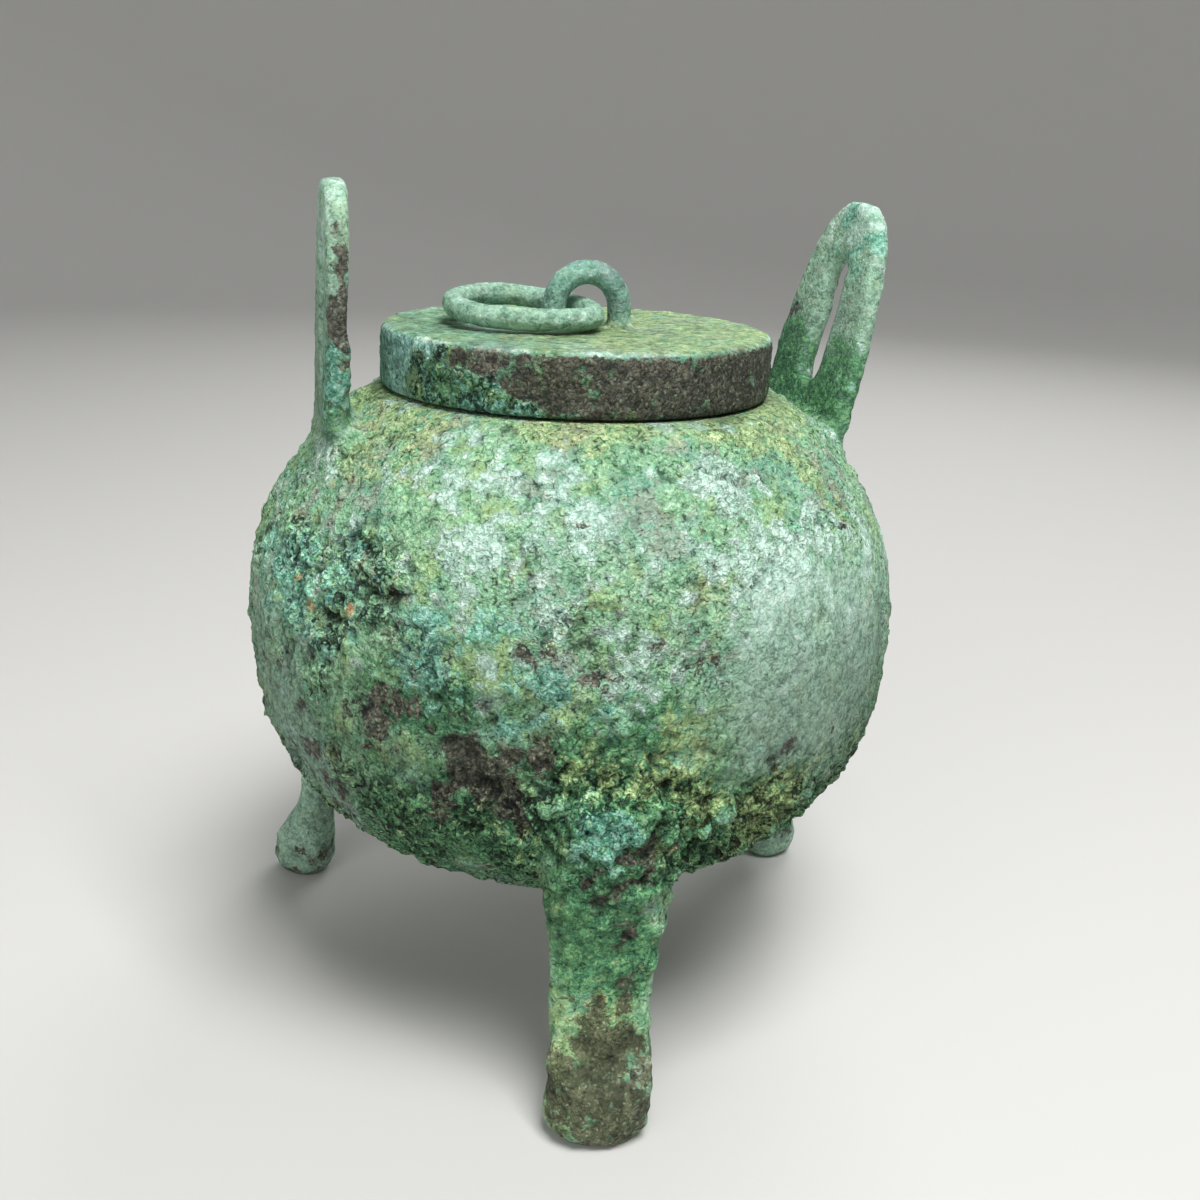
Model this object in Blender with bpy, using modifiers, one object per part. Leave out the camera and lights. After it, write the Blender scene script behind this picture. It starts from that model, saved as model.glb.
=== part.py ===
"""Small cast bronze tripod pot with two upright strap handles, a cap lid and a loose ring.

Metres, +Z up. The soles stand on z = 0, the front leg points to -Y, and the origin is at
the centre of the whole pot's footprint.
"""

import math

import bmesh
import bpy
from mathutils import Matrix, Vector

MM = 0.001

# Belly: two quarter ovals, one above and one below its widest circle
BELLY_RADIUS = 60.0 * MM
SHOULDER_RISE = 50.0 * MM
SHOULDER_FULLNESS = 2.13
BASIN_DEPTH = 48.5 * MM
BASIN_FULLNESS = 2.37
WALL = 3.0 * MM
BELLY_CLEARANCE = 23.5 * MM

# Neck: stands inside the lid, and the lid's skirt rests on the flat seat round it
NECK_HEADROOM = 1.8 * MM
NECK_WALL = 2.8 * MM
NECK_CHAMFER = 0.6 * MM

# Lid: a flat-topped cap that sits a little off centre, within its play round the neck
LID_RADIUS = 35.1 * MM
LID_HEIGHT = 10.8 * MM
LID_WALL = 3.0 * MM
LID_PLATE = 3.0 * MM
LID_EDGE_ROUND = 1.3 * MM
LID_PLAY = 1.3 * MM
LID_DRIFT = -0.7
CONTACT_GAP = 0.3 * MM

# Loop: half a ring of round rod, cast on the lid
LOOP_ROD = 4.5 * MM
LOOP_PLAY = 1.7 * MM
LOOP_HEADROOM = 2.4 * MM
LOOP_OFFSET = (1.4 * MM, -1.6 * MM)
LOOP_TURN = math.radians(8.0)

# Loose ring: a bent oval of round wire, in shares of its length and breadth
RING_WIRE = 4.2 * MM
RING_LENGTH = 23.4 * MM
RING_BREADTH = 26.0 * MM
RING_OUTLINE = (
    (0.00, 0.00),
    (0.01, 0.20),
    (0.12, 0.34),
    (0.38, 0.39),
    (0.68, 0.35),
    (0.92, 0.17),
    (1.00, -0.17),
    (0.86, -0.47),
    (0.60, -0.61),
    (0.28, -0.47),
)
RING_TURN = math.radians(10.0)
RING_SLOPE_OUT = 0.0
RING_SLOPE_FRONT = 0.065

# Legs: a knee on the belly's flank, a slim neck and a rounded foot that kicks out
FRONT_LEG_TURN = math.radians(-90.0)
RIGHT_REAR_LEG_TURN = math.radians(32.0)
LEFT_REAR_LEG_TURN = math.radians(152.0)
KNEE_TOP_DROP = 13.5 * MM
KNEE_ROUND = 8.0 * MM
KNEE_PROUD = 2.0 * MM
NECK_LEVEL = 21.0 * MM
LEG_NECK_PROUD = 0.4 * MM
LEG_NECK_DEPTH = 6.2 * MM
TOE_LEVEL = 5.0 * MM
FRONT_TOE_PROUD = 10.0 * MM
REAR_TOE_PROUD = 7.8 * MM
FOOT_DEPTH = 13.5 * MM
ROOT_DEPTH = 14.0 * MM
SOLE_SHARE = 0.62
FRONT_KNEE_WIDTH = 21.5 * MM
FRONT_NECK_WIDTH = 17.8 * MM
FRONT_FOOT_WIDTH = 18.6 * MM
FRONT_KNEE_SWAY = 1.5 * MM
REAR_KNEE_WIDTH = 15.0 * MM
REAR_NECK_WIDTH = 9.4 * MM
REAR_FOOT_WIDTH = 12.5 * MM

# Handles: upright arched straps with a narrow slot, set unevenly as cast
HANDLE_WIDTH = 30.5 * MM
HANDLE_THICKNESS = 4.8 * MM
HANDLE_HEIGHT = 40.3 * MM
HANDLE_SIDE_FULLNESS = 2.7
HANDLE_TOP_FULLNESS = 2.05
HANDLE_EDGE_ROUND = 1.4 * MM
HANDLE_ROOT = 16.0 * MM
HANDLE_SPREAD = 2.5 * MM
SLOT_WIDTH = 5.8 * MM
SLOT_START = 5.5 * MM
SLOT_LENGTH = 23.8 * MM
RIGHT_HANDLE_TURN = math.radians(15.0)
RIGHT_HANDLE_PLACE = 0.49
RIGHT_HANDLE_STEP = 4.3 * MM
RIGHT_HANDLE_LEAN = math.radians(13.4)
LEFT_HANDLE_TURN = math.radians(188.0)
LEFT_HANDLE_PLACE = 0.37
LEFT_HANDLE_STEP = 1.8 * MM
LEFT_HANDLE_LEAN = math.radians(-1.3)

# Facets
TURN_STEPS = 56
OVAL_STEPS = 11
CAVITY_STEPS = 7
LEG_STEPS = 12
LEG_SIDES = 18
LEG_ROUNDNESS = 2.3
SOLE_STEPS = 4
ARCH_STEPS = 12
FILLET_STEPS = 4

# Heights and radii that follow from the sizes above
BELLY_CENTRE = BELLY_CLEARANCE + BASIN_DEPTH
SEAT_RADIUS = LID_RADIUS + LID_PLAY
NECK_RADIUS = LID_RADIUS - LID_WALL - LID_PLAY
MOUTH_RADIUS = NECK_RADIUS - NECK_WALL
LID_X = LID_DRIFT * LID_PLAY
LOOP_WIDTH = LOOP_ROD + RING_WIRE + 2 * LOOP_PLAY
AXIS_Y = FRONT_TOE_PROUD / 2


def oval_height(radius, reach, rise, fullness):
    """Height of a quarter oval above its widest circle, at this distance from its axis."""
    return rise * (1 - (radius / reach) ** fullness) ** (1 / fullness)


def oval_radius(height, reach, rise, fullness):
    """Distance of a quarter oval from its axis, at this height above its widest circle."""
    return reach * (1 - (height / rise) ** fullness) ** (1 / fullness)


def oval_points(reach, rise, fullness, start_radius, steps):
    """Points from start_radius near the axis out to the widest circle."""
    start = math.acos((start_radius / reach) ** (fullness / 2))
    points = []
    for i in range(steps + 1):
        angle = start * (1 - i / steps)
        radius = reach * math.cos(angle) ** (2 / fullness)
        points.append((radius, rise * math.sin(angle) ** (2 / fullness)))
    return points


SEAT_Z = BELLY_CENTRE + oval_height(SEAT_RADIUS, BELLY_RADIUS, SHOULDER_RISE, SHOULDER_FULLNESS)
LID_BOTTOM = SEAT_Z + CONTACT_GAP
LID_TOP = LID_BOTTOM + LID_HEIGHT
NECK_TOP = LID_TOP - LID_PLATE - NECK_HEADROOM


def clear_scene():
    for obj in list(bpy.data.objects):
        bpy.data.objects.remove(obj, do_unlink=True)


def new_collection(name):
    collection = bpy.data.collections.new(name)
    bpy.context.scene.collection.children.link(collection)
    return collection


def bronze(name, colour, roughness, metallic):
    material = bpy.data.materials.new(name)
    material.use_nodes = True
    shader = material.node_tree.nodes["Principled BSDF"]
    shader.inputs["Base Color"].default_value = (*colour, 1.0)
    shader.inputs["Roughness"].default_value = roughness
    shader.inputs["Metallic"].default_value = metallic
    return material


def add_object(name, data, collection, parent):
    obj = bpy.data.objects.new(name, data)
    collection.objects.link(obj)
    obj.parent = parent
    return obj


def smooth(mesh):
    mesh.shade_smooth()
    mesh.set_sharp_from_angle(angle=math.radians(35))


def turned(name, profile, collection, parent):
    """An object turned from (radius, height) points that run down its outer side."""
    mesh = bpy.data.meshes.new(name)
    points = [(radius, 0.0, height) for radius, height in profile]
    edges = [(i, i + 1) for i in range(len(points) - 1)]
    mesh.from_pydata(points, edges, [])
    obj = add_object(name, mesh, collection, parent)
    screw = obj.modifiers.new("turn", "SCREW")
    screw.steps = TURN_STEPS
    screw.render_steps = TURN_STEPS
    screw.use_merge_vertices = True
    screw.merge_threshold = 0.00001
    screw.use_smooth_shade = True
    return obj


def mesh_from_curve(curve_object, collection, parent):
    """A mesh object in place of a curve object, with its caps welded on."""
    graph = bpy.context.evaluated_depsgraph_get()
    mesh = bpy.data.meshes.new_from_object(curve_object.evaluated_get(graph))
    work = bmesh.new()
    work.from_mesh(mesh)
    bmesh.ops.remove_doubles(work, verts=work.verts, dist=0.00001)
    bmesh.ops.recalc_face_normals(work, faces=work.faces)
    work.to_mesh(mesh)
    work.free()
    name = curve_object.name
    placed = curve_object.matrix_world.copy()
    bpy.data.objects.remove(curve_object, do_unlink=True)
    mesh.name = name
    obj = add_object(name, mesh, collection, parent)
    obj.matrix_world = placed
    return obj


def make_helper(obj):
    obj.hide_render = True
    obj.display_type = "WIRE"


def combine(obj, other, operation):
    boolean = obj.modifiers.new(f"{operation.lower()} {other.name}", "BOOLEAN")
    boolean.operation = operation
    boolean.solver = "EXACT"
    boolean.object = other


def fillet(centre, radius, start, end):
    """Points of an arc round centre, from one angle to another in degrees."""
    points = []
    for i in range(FILLET_STEPS + 1):
        angle = math.radians(start + (end - start) * i / FILLET_STEPS)
        points.append((centre[0] + radius * math.cos(angle), centre[1] + radius * math.sin(angle)))
    return points


def body_profile():
    """The outside of neck, seat, shoulder and basin, as if the pot were solid."""
    shoulder = oval_points(BELLY_RADIUS, SHOULDER_RISE, SHOULDER_FULLNESS, SEAT_RADIUS, OVAL_STEPS)
    basin = oval_points(BELLY_RADIUS, BASIN_DEPTH, BASIN_FULLNESS, 0.0, OVAL_STEPS)
    profile = [
        (0.0, NECK_TOP),
        (NECK_RADIUS - NECK_CHAMFER, NECK_TOP),
        (NECK_RADIUS, NECK_TOP - NECK_CHAMFER),
        (NECK_RADIUS, SEAT_Z),
    ]
    profile += [(radius, BELLY_CENTRE + height) for radius, height in shoulder]
    profile += [(radius, BELLY_CENTRE - height) for radius, height in reversed(basin[:-1])]
    return profile


def cavity_profile():
    """The hollow: the mouth, a flat roof under the seat and the belly's inside."""
    reach = BELLY_RADIUS - WALL
    rise = SHOULDER_RISE - WALL
    depth = BASIN_DEPTH - WALL
    roof = SEAT_Z - WALL - BELLY_CENTRE
    roof_radius = max(oval_radius(roof, reach, rise, SHOULDER_FULLNESS), MOUTH_RADIUS + WALL)
    shoulder = oval_points(reach, rise, SHOULDER_FULLNESS, roof_radius, CAVITY_STEPS)
    basin = oval_points(reach, depth, BASIN_FULLNESS, 0.0, CAVITY_STEPS)
    profile = [
        (0.0, NECK_TOP + WALL),
        (MOUTH_RADIUS, NECK_TOP + WALL),
        (MOUTH_RADIUS, BELLY_CENTRE + shoulder[0][1]),
    ]
    profile += [(radius, BELLY_CENTRE + height) for radius, height in shoulder]
    profile += [(radius, BELLY_CENTRE - height) for radius, height in reversed(basin[:-1])]
    return profile


def ease(start, end, share):
    """Smooth change from start to end as share goes from 0 to 1."""
    return start + (end - start) * (1 - math.cos(math.pi * share)) / 2


def along(levels, height):
    """The eased value at this height, from (height, value) pairs in rising order."""
    for (low, start), (high, end) in zip(levels, levels[1:]):
        if height <= high:
            return ease(start, end, max(0.0, (height - low) / (high - low)))
    return levels[-1][1]


def leg_sections(knee_width, neck_width, foot_width, toe_reach):
    """Height, centre's distance from the axis, depth and width of each section, sole first."""
    knee_top = BELLY_CENTRE - KNEE_TOP_DROP
    knee_level = knee_top - KNEE_ROUND
    knee_reach = BELLY_RADIUS + KNEE_PROUD
    neck_reach = BELLY_RADIUS + LEG_NECK_PROUD
    buried = oval_radius(KNEE_TOP_DROP, BELLY_RADIUS, BASIN_DEPTH, BASIN_FULLNESS) - WALL / 3
    outer = ((TOE_LEVEL, toe_reach), (NECK_LEVEL, neck_reach), (knee_level, knee_reach))
    depth = ((TOE_LEVEL, FOOT_DEPTH), (NECK_LEVEL, LEG_NECK_DEPTH), (knee_level, ROOT_DEPTH))
    width = ((TOE_LEVEL, foot_width), (NECK_LEVEL, neck_width), (knee_level, knee_width))
    sections = []
    for i in range(SOLE_STEPS):
        height = TOE_LEVEL * i / SOLE_STEPS
        rounding = math.sqrt(1 - (1 - height / TOE_LEVEL) ** 2)
        share = SOLE_SHARE + (1 - SOLE_SHARE) * rounding
        centre = toe_reach - FOOT_DEPTH / 2
        sections.append((height, centre, FOOT_DEPTH * share, foot_width * share))
    for i in range(LEG_STEPS + 1):
        height = TOE_LEVEL + (knee_level - TOE_LEVEL) * i / LEG_STEPS
        thick = along(depth, height)
        sections.append((height, along(outer, height) - thick / 2, thick, along(width, height)))
    for i in range(1, FILLET_STEPS + 1):
        share = i / FILLET_STEPS
        rounding = math.sqrt(1 - share**2)
        reach = buried + (knee_reach - buried) * rounding
        thick = ROOT_DEPTH * (0.5 + 0.5 * rounding)
        across = knee_width * (0.5 + 0.5 * rounding)
        sections.append((knee_level + KNEE_ROUND * share, reach - thick / 2, thick, across))
    return sections


def superellipse(angle, half_x, half_y, roundness):
    cosine = math.cos(angle)
    sine = math.sin(angle)
    x = math.copysign(abs(cosine) ** (2 / roundness), cosine)
    y = math.copysign(abs(sine) ** (2 / roundness), sine)
    return half_x * x, half_y * y


def make_leg(name, sizes, turn, sway, collection, parent):
    """A leg lofted through its sections along +X, swaying sideways as it rises, then turned."""
    work = bmesh.new()
    rings = []
    for height, centre, thick, across in leg_sections(*sizes):
        ring = []
        aside = sway * height / BELLY_CENTRE
        for i in range(LEG_SIDES):
            x, y = superellipse(math.tau * i / LEG_SIDES, thick / 2, across / 2, LEG_ROUNDNESS)
            ring.append(work.verts.new((centre + x, aside + y, height)))
        rings.append(ring)
    for low, high in zip(rings, rings[1:]):
        for i in range(LEG_SIDES):
            j = (i + 1) % LEG_SIDES
            work.faces.new((low[i], low[j], high[j], high[i]))
    work.faces.new(reversed(rings[0]))
    work.faces.new(rings[-1])
    mesh = bpy.data.meshes.new(name)
    work.to_mesh(mesh)
    work.free()
    obj = add_object(name, mesh, collection, parent)
    obj.rotation_euler.z = turn
    make_helper(obj)
    return obj


def add_outline(curve, points):
    spline = curve.splines.new("POLY")
    spline.points.add(len(points) - 1)
    for point, (x, y) in zip(spline.points, points):
        point.co = (x, y, 0.0, 1.0)
    spline.use_cyclic_u = True


def handle_outline():
    half = HANDLE_WIDTH / 2
    right = []
    for i in range(ARCH_STEPS):
        angle = math.pi / 2 * i / ARCH_STEPS
        x = half * math.cos(angle) ** (2 / HANDLE_SIDE_FULLNESS)
        right.append((x, HANDLE_HEIGHT * math.sin(angle) ** (2 / HANDLE_TOP_FULLNESS)))
    left = [(-x, y) for x, y in reversed(right)]
    foot = half + HANDLE_SPREAD
    return [(foot, -HANDLE_ROOT), *right, (0.0, HANDLE_HEIGHT), *left, (-foot, -HANDLE_ROOT)]


def slot_outline():
    radius = SLOT_WIDTH / 2
    low = SLOT_START + radius
    high = SLOT_START + SLOT_LENGTH - radius
    return fillet((0.0, high), radius, 0, 180) + fillet((0.0, low), radius, 180, 360)


def make_handle(name, turn, place, step, lean, collection, parent):
    """A slotted strap across the turn direction, its place a share of the open shoulder."""
    curve = bpy.data.curves.new(name, "CURVE")
    curve.dimensions = "2D"
    curve.fill_mode = "BOTH"
    curve.extrude = HANDLE_THICKNESS / 2 - HANDLE_EDGE_ROUND
    curve.bevel_depth = HANDLE_EDGE_ROUND
    curve.bevel_resolution = 1
    curve.offset = -HANDLE_EDGE_ROUND
    add_outline(curve, handle_outline())
    add_outline(curve, slot_outline())
    obj = add_object(name, curve, collection, None)
    outward = Vector((math.cos(turn), math.sin(turn), 0.0))
    across = Vector((-math.sin(turn), math.cos(turn), 0.0))
    upward = Vector((0.0, 0.0, 1.0)) * math.cos(lean) + outward * math.sin(lean)
    frame = Matrix((across, upward, across.cross(upward))).transposed().to_4x4()
    reach = SEAT_RADIUS + place * (BELLY_RADIUS - SEAT_RADIUS)
    base = outward * reach
    base.z = BELLY_CENTRE + step
    base.z += oval_height(reach, BELLY_RADIUS, SHOULDER_RISE, SHOULDER_FULLNESS)
    obj.matrix_world = Matrix.Translation(base) @ frame
    bpy.context.view_layer.update()
    obj = mesh_from_curve(obj, collection, None)
    obj.parent = parent
    make_helper(obj)
    return obj


def make_pot(material, parts, helpers, axis):
    pot = turned("pot", body_profile(), parts, axis)
    pot.data.materials.append(material)
    front_toe = BELLY_RADIUS + FRONT_TOE_PROUD
    rear_toe = BELLY_RADIUS + REAR_TOE_PROUD
    front = (FRONT_KNEE_WIDTH, FRONT_NECK_WIDTH, FRONT_FOOT_WIDTH, front_toe)
    rear = (REAR_KNEE_WIDTH, REAR_NECK_WIDTH, REAR_FOOT_WIDTH, rear_toe)
    joined = [
        make_leg("front leg", front, FRONT_LEG_TURN, FRONT_KNEE_SWAY, helpers, axis),
        make_leg("right rear leg", rear, RIGHT_REAR_LEG_TURN, 0.0, helpers, axis),
        make_leg("left rear leg", rear, LEFT_REAR_LEG_TURN, 0.0, helpers, axis),
        make_handle("right handle", RIGHT_HANDLE_TURN, RIGHT_HANDLE_PLACE, RIGHT_HANDLE_STEP,
                    RIGHT_HANDLE_LEAN, helpers, axis),
        make_handle("left handle", LEFT_HANDLE_TURN, LEFT_HANDLE_PLACE, LEFT_HANDLE_STEP,
                    LEFT_HANDLE_LEAN, helpers, axis),
    ]
    for piece in joined:
        combine(pot, piece, "UNION")
    cavity = turned("cavity", cavity_profile(), helpers, axis)
    make_helper(cavity)
    combine(pot, cavity, "DIFFERENCE")
    return pot


def lid_profile():
    shoulder = (LID_RADIUS - LID_EDGE_ROUND, LID_TOP - LID_EDGE_ROUND)
    inner_radius = LID_RADIUS - LID_WALL
    profile = [(0.0, LID_TOP)]
    profile += fillet(shoulder, LID_EDGE_ROUND, 90, 0)
    profile += [
        (LID_RADIUS, LID_BOTTOM),
        (inner_radius, LID_BOTTOM),
        (inner_radius, LID_TOP - LID_PLATE),
        (0.0, LID_TOP - LID_PLATE),
    ]
    return profile


def ring_lift():
    """Height of the wire's centre in the loop, so that the ring's lowest point clears the lid."""
    drop = 0.0
    for out_share, front_share in RING_OUTLINE:
        slope = RING_SLOPE_OUT * out_share * RING_LENGTH
        slope += RING_SLOPE_FRONT * front_share * RING_BREADTH
        drop = max(drop, slope)
    return RING_WIRE / 2 + CONTACT_GAP + drop


def loop_place(height):
    """The loop's middle, measured from the pot's axis, at this height."""
    return (LID_X + LOOP_OFFSET[0], LOOP_OFFSET[1], height)


def loop_points():
    """The half ring's centre line in its own plane: up one leg, over and down the other."""
    half = LOOP_WIDTH / 2
    root = -LID_PLATE / 2
    apex = ring_lift() + RING_WIRE / 2 + LOOP_HEADROOM + LOOP_ROD / 2
    arch = []
    for i in range(2 * FILLET_STEPS + 1):
        angle = math.pi * i / (2 * FILLET_STEPS)
        arch.append((half * math.cos(angle), apex - half + half * math.sin(angle)))
    return [(half, root), *arch, (-half, root)]


def make_lid(material, parts, helpers, axis):
    lid = turned("lid", lid_profile(), parts, axis)
    lid.location.x = LID_X
    lid.data.materials.append(material)
    curve = bpy.data.curves.new("loop", "CURVE")
    curve.dimensions = "3D"
    curve.bevel_depth = LOOP_ROD / 2
    curve.bevel_resolution = 2
    curve.use_fill_caps = True
    spline = curve.splines.new("POLY")
    points = loop_points()
    spline.points.add(len(points) - 1)
    for point, (x, z) in zip(spline.points, points):
        point.co = (x, 0.0, z, 1.0)
    loop = add_object("loop", curve, helpers, None)
    loop.location = loop_place(LID_TOP)
    loop.rotation_euler.z = LOOP_TURN
    bpy.context.view_layer.update()
    loop = mesh_from_curve(loop, helpers, None)
    loop.parent = axis
    make_helper(loop)
    combine(lid, loop, "UNION")
    return lid


def make_ring(material, parts, axis):
    """The ring lies to the left of the loop. Its origin is on the axis it swings about."""
    curve = bpy.data.curves.new("ring", "CURVE")
    curve.dimensions = "3D"
    curve.bevel_depth = RING_WIRE / 2
    curve.bevel_resolution = 2
    curve.resolution_u = 4
    spline = curve.splines.new("BEZIER")
    spline.bezier_points.add(len(RING_OUTLINE) - 1)
    for point, (out_share, front_share) in zip(spline.bezier_points, RING_OUTLINE):
        out = out_share * RING_LENGTH
        front = front_share * RING_BREADTH
        point.co = (-out, -front, -RING_SLOPE_OUT * out - RING_SLOPE_FRONT * front)
        point.handle_left_type = "AUTO"
        point.handle_right_type = "AUTO"
    spline.use_cyclic_u = True
    ring = add_object("ring", curve, parts, axis)
    ring.location = loop_place(LID_TOP + ring_lift())
    ring.rotation_euler.z = RING_TURN
    curve.materials.append(material)
    return ring


def main():
    clear_scene()
    parts = new_collection("bronze pot")
    helpers = new_collection("helpers")
    axis = add_object("pot axis", None, parts, None)
    axis.location.y = AXIS_Y
    green = bronze("green patina", (0.20, 0.34, 0.22), 0.85, 0.15)
    brown = bronze("brown patina", (0.16, 0.15, 0.10), 0.80, 0.25)
    grey = bronze("grey green patina", (0.27, 0.36, 0.27), 0.75, 0.20)
    pot = make_pot(green, parts, helpers, axis)
    lid = make_lid(brown, parts, helpers, axis)
    make_ring(grey, parts, axis)
    for obj in (pot, lid):
        smooth(obj.data)


if __name__ == "__main__":
    main()
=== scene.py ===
"""Dresses the bronze pot: a crusted green casting, a brown and green lid, a smooth loose ring.

The solids' shapes are kept. Each piece is a fine mesh made from its solid, with the corrosion
modelled as relief, and one layered material that reads where each kind of corrosion lies and where shade is
painted.
"""

import math

import bpy
import numpy as np
from mathutils import Matrix, Vector
from mathutils.kdtree import KDTree

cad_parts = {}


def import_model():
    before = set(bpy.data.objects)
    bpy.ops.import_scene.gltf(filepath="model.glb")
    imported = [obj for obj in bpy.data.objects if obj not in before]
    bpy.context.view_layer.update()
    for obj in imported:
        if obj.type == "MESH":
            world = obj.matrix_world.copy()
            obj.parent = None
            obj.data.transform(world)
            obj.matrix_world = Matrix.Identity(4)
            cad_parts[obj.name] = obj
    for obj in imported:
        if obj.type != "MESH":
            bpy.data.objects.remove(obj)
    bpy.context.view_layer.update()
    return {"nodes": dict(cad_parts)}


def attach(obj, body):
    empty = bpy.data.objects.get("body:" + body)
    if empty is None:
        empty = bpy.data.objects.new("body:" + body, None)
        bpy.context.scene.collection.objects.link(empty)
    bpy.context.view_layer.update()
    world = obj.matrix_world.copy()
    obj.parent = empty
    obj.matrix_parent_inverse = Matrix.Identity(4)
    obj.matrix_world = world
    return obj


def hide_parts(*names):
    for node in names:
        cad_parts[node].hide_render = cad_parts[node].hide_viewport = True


MM = 0.001

# Belly of the solids, in millimetres: its widest circle and the two quarter ovals on it
AXIS_Y = 5.0
BELLY_LEVEL = 72.0
BELLY_RADIUS = 60.0
SHOULDER_RISE = 50.0
SHOULDER_FULLNESS = 2.13
BASIN_DEPTH = 48.5
BASIN_FULLNESS = 2.37
SEAT_LEVEL = 113.0
LID_X = -0.9
LID_TOP = 124.1
LID_RADIUS = 35.1
LOOP_X = 0.5

# Fineness of each piece's mesh
POT_VOXEL = 0.72 * MM
LID_VOXEL = 0.52 * MM
RING_VOXEL = 0.34 * MM
POT_TRIANGLES = 192000

# Camera: the photograph's viewpoint, fitted to the outline of belly, lid, legs and handles
EYE = (-0.0305, -0.2512, 0.1553)
HEADING = math.radians(-8.0)
PITCH = math.radians(17.889)
ROLL = math.radians(2.578)
LENS = 42.204

# Corrosion on the belly: azimuth from the front leg in degrees, height, radius and strength.
PALE = (
    (-33, 103, 7, 0.8), (-22, 101, 8, 0.7), (-12, 106, 7, 0.7), (-4, 108, 7, 0.7), (-12, 100, 10, 0.30),
    (-2, 97, 10, 0.2), (8, 95, 10, 0.2), (-30, 91, 6, 0.9), (-36, 91, 4, 0.6), (-19, 95, 7, 0.7),
    (-25, 86, 5, 0.6), (-14, 80, 4, 0.8), (-9, 85, 5, 0.8), (-5, 75, 6, 0.9), (2, 79, 6, 0.9),
    (6, 74, 5, 0.6), (-17, 77, 4, 0.6), (18, 100, 10, 0.8), (29, 101, 10, 0.9), (36, 94, 9, 0.9),
    (13, 88, 7, 0.6), (24, 92, 9, 0.7), (46, 97, 9, 0.6), (12, 70, 6, 0.5), (22, 70, 7, 0.6),
    (56, 88, 9, 0.5), (-40, 76, 3, 0.5), (-52, 66, 3, 0.7), (-47, 73, 3, 0.6), (-56, 78, 10, 0.5),
)
SMOOTH = (
    (32, 81, 13, 0.9), (28, 71, 12, 0.9), (44, 84, 14, 0.8), (50, 70, 14, 0.7), (38, 62, 12, 0.5),
    (-62, 60, 13, 0.8), (-70, 72, 12, 0.6), (-52, 48, 12, 0.6), (-4, 98, 13, 0.35), (72, 84, 16, 0.5),
    (12, 94, 10, 0.3), (24, 84, 12, 0.4),
)
BARE = (
    (-18, 62, 6, 1.2), (-22, 66, 5, 1.0), (-13, 66, 4, 0.8), (-13, 81, 3, 1.2), (-4, 77, 3.4, 1.1),
    (-33, 73, 4, 1.0), (-26, 69, 5, 0.8), (-9, 68, 4, 0.7), (14, 67, 4, 0.8), (-38, 66, 4, 0.7),
    (-66, 69, 5, 0.8), (-44, 82, 2.4, 0.9), (-36, 79, 3, 0.7), (-29, 101, 2.4, 0.9), (2, 99, 1.6, 0.9),
    (-18, 60, 13, 0.55), (-34, 66, 11, 0.40), (-58, 60, 12, 0.35), (-42, 68, 5, 0.7), (-50, 55, 6, 0.5),
    (-30, 56, 6, 0.6), (-8, 106, 2.4, 0.6), (-17, 91, 2, 0.6), (12, 85, 2.4, 0.7), (30, 60, 4, 0.5),
    (-14, 57, 5, 0.8),
)
PITS = (
    (-60, 91, 3.4, 1.2), (-46, 93, 4, 1.1), (-41, 92, 4, 1.2), (-46, 84, 4, 1.3), (-41, 86, 4, 1.2),
    (-46, 78, 4, 1.2), (-49, 71, 4, 1.1), (-56, 80, 4, 0.7), (-36, 83, 3.4, 0.9), (-30, 82, 3.4, 0.7),
    (-40, 71, 4, 0.9), (-24, 76, 4, 0.6), (-52, 88, 3.4, 0.9), (-38, 98, 2.4, 0.8), (8, 79, 2.4, 0.4),
    (-66, 88, 12, 0.2), (-56, 80, 14, 0.2), (-50, 92, 9, 0.3), (-64, 72, 10, 0.3), (-30, 70, 8, 0.3),
)
TURQUOISE = (
    (-30, 82, 5, 1.0), (-26, 79, 5, 1.2), (-20, 83, 5, 0.8), (-11, 76, 5, 1.0), (1, 77, 6, 0.9),
    (-42, 92, 5, 0.8), (-48, 87, 5, 0.6), (-62, 97, 5, 0.6), (-2, 56, 4.4, 1.2), (4, 55, 3.4, 1.0),
    (-34, 87, 4, 0.6), (-44, 74, 4, 0.5), (-52, 78, 4, 0.6), (-70, 88, 8, 0.5), (-58, 84, 12, 0.9),
    (10, 82, 4, 0.5), (-38, 76, 8, 0.4),
)
OCHRE = (
    (-58, 111, 8, 0.7), (-40, 106, 9, 0.5), (-10, 111, 8, 0.4), (37, 112, 8, 0.7), (56, 103, 10, 0.7),
    (2, 101, 6, 0.4), (14, 104, 8, 0.5), (14, 91, 7, 0.7), (-2, 89, 7, 0.5), (6, 84, 6, 0.5),
    (-55, 86, 8, 0.5), (-48, 60, 5, 0.8), (20, 54, 6, 1.1), (-14, 50, 6, 0.8), (11, 55, 5, 0.9),
    (29, 47, 10, 1.0), (38, 52, 9, 0.8), (-40, 97, 6, 0.4), (10, 66, 6, 1.1), (30, 40, 9, 0.6),
    (0, 64, 8, 1.2), (-52, 90, 12, 0.5), (16, 60, 8, 0.6), (-52, 100, 12, 0.5), (-64, 82, 12, 0.4),
    (46, 104, 7, 0.5), (-8, 62, 4, 0.5),
)
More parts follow.
